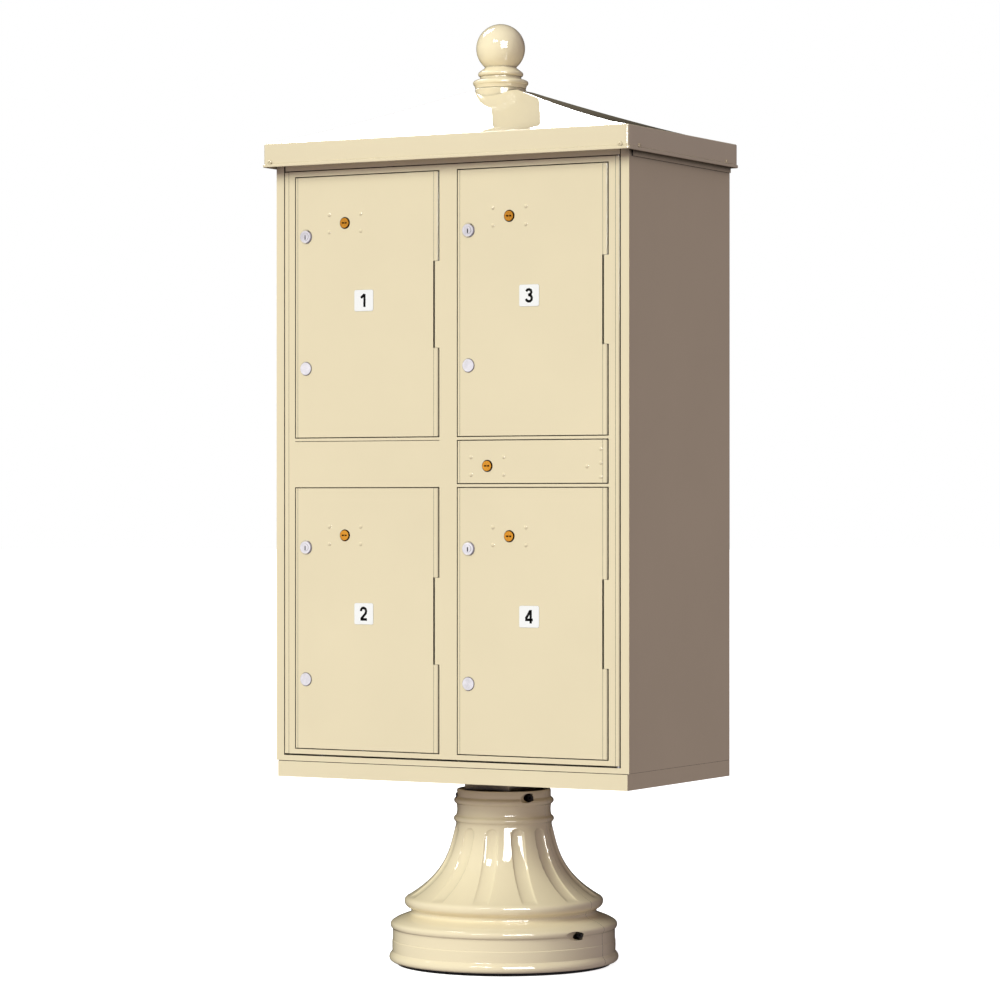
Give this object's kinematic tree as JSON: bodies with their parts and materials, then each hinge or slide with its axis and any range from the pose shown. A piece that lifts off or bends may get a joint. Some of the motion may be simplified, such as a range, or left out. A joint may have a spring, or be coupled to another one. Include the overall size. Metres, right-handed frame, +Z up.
{
  "type": "pedestal parcel locker",
  "caption": "Outdoor pedestal parcel locker: two columns of keyed parcel doors on a hinged master frame, hipped roof with ball finial, fluted cast base cover.",
  "frame": {"origin": "on the floor, under the pedestal post's axis", "axes": "+Z up, the doors face -Y, +X to the right seen from the front"},
  "size_m": [0.8048, 0.4731, 1.832],
  "materials": {
    "cream_paint": "smooth gloss powder coat, sand-cream",
    "cast_paint": "gloss powder coat over casting, sand-cream",
    "rubber": "matte black",
    "chrome": "bright plated",
    "brass": "satin brass",
    "steel": "zinc-plated steel",
    "case_steel": "dark oxide",
    "black_steel": "black oxide"
  },
  "bodies": {
    "cabinet": {"cabinet_shell": "cream_paint", "hood": "cream_paint", "cabinet_floor": "cream_paint", "center_partition": "cream_paint", "upper_shelf": "cream_paint", "lower_shelf": "cream_paint", "roof_cap": "cream_paint", "roof_screws": "cream_paint", "finial": "cast_paint", "finial_stud": "steel", "pedestal_post": "cream_paint", "cabinet_bolts": "steel", "base_pad": "rubber", "cover_front": "cast_paint", "cover_back": "cast_paint", "cover_screws": "black_steel", "master_pivots": "steel"},
    "master_door": {"master_frame": "cream_paint", "filler_panel": "cream_paint", "hinge_pins": "steel", "latch_guides": "steel"},
    "latch_bar": {"latch_bar": "steel"},
    "small_door": {"arrow_door": "cream_paint", "arrow_door_case": "case_steel", "arrow_door_rivets": "cream_paint"},
    "small_door_plug": {"arrow_door_plug": "brass"},
    "small_door_bolt": {"arrow_door_bolt": "steel"},
    "parcel_door_1": {"door_1": "cream_paint", "lock_body_1": "chrome", "blank_plug_1": "chrome", "arrow_case_1": "case_steel", "rivets_1": "cream_paint"},
    "tenant_plug_1": {"key_plug_1": "chrome"},
    "carrier_plug_1": {"arrow_plug_1": "brass"},
    "carrier_bolt_1": {"arrow_bolt_1": "steel"},
    "parcel_door_2": {"door_2": "cream_paint", "lock_body_2": "chrome", "blank_plug_2": "chrome", "arrow_case_2": "case_steel", "rivets_2": "cream_paint"},
    "tenant_plug_2": {"key_plug_2": "chrome"},
    "carrier_plug_2": {"arrow_plug_2": "brass"},
    "carrier_bolt_2": {"arrow_bolt_2": "steel"},
    "parcel_door_3": {"door_3": "cream_paint", "lock_body_3": "chrome", "blank_plug_3": "chrome", "arrow_case_3": "case_steel", "rivets_3": "cream_paint"},
    "tenant_plug_3": {"key_plug_3": "chrome"},
    "carrier_plug_3": {"arrow_plug_3": "brass"},
    "carrier_bolt_3": {"arrow_bolt_3": "steel"},
    "parcel_door_4": {"door_4": "cream_paint", "lock_body_4": "chrome", "blank_plug_4": "chrome", "arrow_case_4": "case_steel", "rivets_4": "cream_paint"},
    "tenant_plug_4": {"key_plug_4": "chrome"},
    "carrier_plug_4": {"arrow_plug_4": "brass"},
    "carrier_bolt_4": {"arrow_bolt_4": "steel"}
  },
  "joints": [
    {"name": "master_hinge", "type": "hinge", "parent": "cabinet", "child": "master_door", "pos_m": [0.3634, -0.2127, 0.9764], "axis": [0, 0, 1], "range_deg": [0, 100]},
    {"name": "latch_slide", "type": "slide", "parent": "master_door", "child": "latch_bar", "axis": [-1, 0, 0], "range_m": [0, 0.018]},
    {"name": "small_door_hinge", "type": "hinge", "parent": "master_door", "child": "small_door", "pos_m": [0.33745, -0.21195, 0.9762], "axis": [0, 0, 1], "range_deg": [0, 100]},
    {"name": "small_door_lock", "type": "hinge", "parent": "small_door", "child": "small_door_plug", "pos_m": [0.0856, -0.2172, 0.9685], "axis": [0, -1, 0], "range_deg": [0, 90]},
    {"name": "small_door_bolt_slide", "type": "slide", "parent": "small_door", "child": "small_door_bolt", "axis": [-1, 0, 0], "range_m": [0, 0.012]},
    {"name": "parcel_hinge_1", "type": "hinge", "parent": "master_door", "child": "parcel_door_1", "pos_m": [-0.02645, -0.21195, 1.278], "axis": [0, 0, 1], "range_deg": [0, 95]},
    {"name": "tenant_lock_1", "type": "hinge", "parent": "parcel_door_1", "child": "tenant_plug_1", "pos_m": [-0.3195, -0.2172, 1.4155], "axis": [0, 1, 0], "range_deg": [0, 90]},
    {"name": "carrier_lock_1", "type": "hinge", "parent": "parcel_door_1", "child": "carrier_plug_1", "pos_m": [-0.2307, -0.2172, 1.4395], "axis": [0, -1, 0], "range_deg": [0, 90]},
    {"name": "carrier_bolt_slide_1", "type": "slide", "parent": "parcel_door_1", "child": "carrier_bolt_1", "axis": [-1, 0, 0], "range_m": [0, 0.012]},
    {"name": "parcel_hinge_2", "type": "hinge", "parent": "master_door", "child": "parcel_door_2", "pos_m": [-0.02645, -0.21195, 0.6742], "axis": [0, 0, 1], "range_deg": [0, 95]},
    {"name": "tenant_lock_2", "type": "hinge", "parent": "parcel_door_2", "child": "tenant_plug_2", "pos_m": [-0.3195, -0.2172, 0.8117], "axis": [0, 1, 0], "range_deg": [0, 90]},
    {"name": "carrier_lock_2", "type": "hinge", "parent": "parcel_door_2", "child": "carrier_plug_2", "pos_m": [-0.2307, -0.2172, 0.8357], "axis": [0, -1, 0], "range_deg": [0, 90]},
    {"name": "carrier_bolt_slide_2", "type": "slide", "parent": "parcel_door_2", "child": "carrier_bolt_2", "axis": [-1, 0, 0], "range_m": [0, 0.012]},
    {"name": "parcel_hinge_3", "type": "hinge", "parent": "master_door", "child": "parcel_door_3", "pos_m": [0.33745, -0.21195, 1.278], "axis": [0, 0, 1], "range_deg": [0, 95]},
    {"name": "tenant_lock_3", "type": "hinge", "parent": "parcel_door_3", "child": "tenant_plug_3", "pos_m": [0.0444, -0.2172, 1.4155], "axis": [0, 1, 0], "range_deg": [0, 90]},
    {"name": "carrier_lock_3", "type": "hinge", "parent": "parcel_door_3", "child": "carrier_plug_3", "pos_m": [0.1332, -0.2172, 1.4395], "axis": [0, -1, 0], "range_deg": [0, 90]},
    {"name": "carrier_bolt_slide_3", "type": "slide", "parent": "parcel_door_3", "child": "carrier_bolt_3", "axis": [-1, 0, 0], "range_m": [0, 0.012]},
    {"name": "parcel_hinge_4", "type": "hinge", "parent": "master_door", "child": "parcel_door_4", "pos_m": [0.33745, -0.21195, 0.6742], "axis": [0, 0, 1], "range_deg": [0, 95]},
    {"name": "tenant_lock_4", "type": "hinge", "parent": "parcel_door_4", "child": "tenant_plug_4", "pos_m": [0.0444, -0.2172, 0.8117], "axis": [0, 1, 0], "range_deg": [0, 90]},
    {"name": "carrier_lock_4", "type": "hinge", "parent": "parcel_door_4", "child": "carrier_plug_4", "pos_m": [0.1332, -0.2172, 0.8357], "axis": [0, -1, 0], "range_deg": [0, 90]},
    {"name": "carrier_bolt_slide_4", "type": "slide", "parent": "parcel_door_4", "child": "carrier_bolt_4", "axis": [-1, 0, 0], "range_m": [0, 0.012]}
  ],
  "couplings": [
    {"joint": "small_door_bolt_slide", "follows": "small_door_lock", "m_per_rad": 0.007639},
    {"joint": "carrier_bolt_slide_1", "follows": "carrier_lock_1", "m_per_rad": 0.007639},
    {"joint": "carrier_bolt_slide_2", "follows": "carrier_lock_2", "m_per_rad": 0.007639},
    {"joint": "carrier_bolt_slide_3", "follows": "carrier_lock_3", "m_per_rad": 0.007639},
    {"joint": "carrier_bolt_slide_4", "follows": "carrier_lock_4", "m_per_rad": 0.007639}
  ]
}
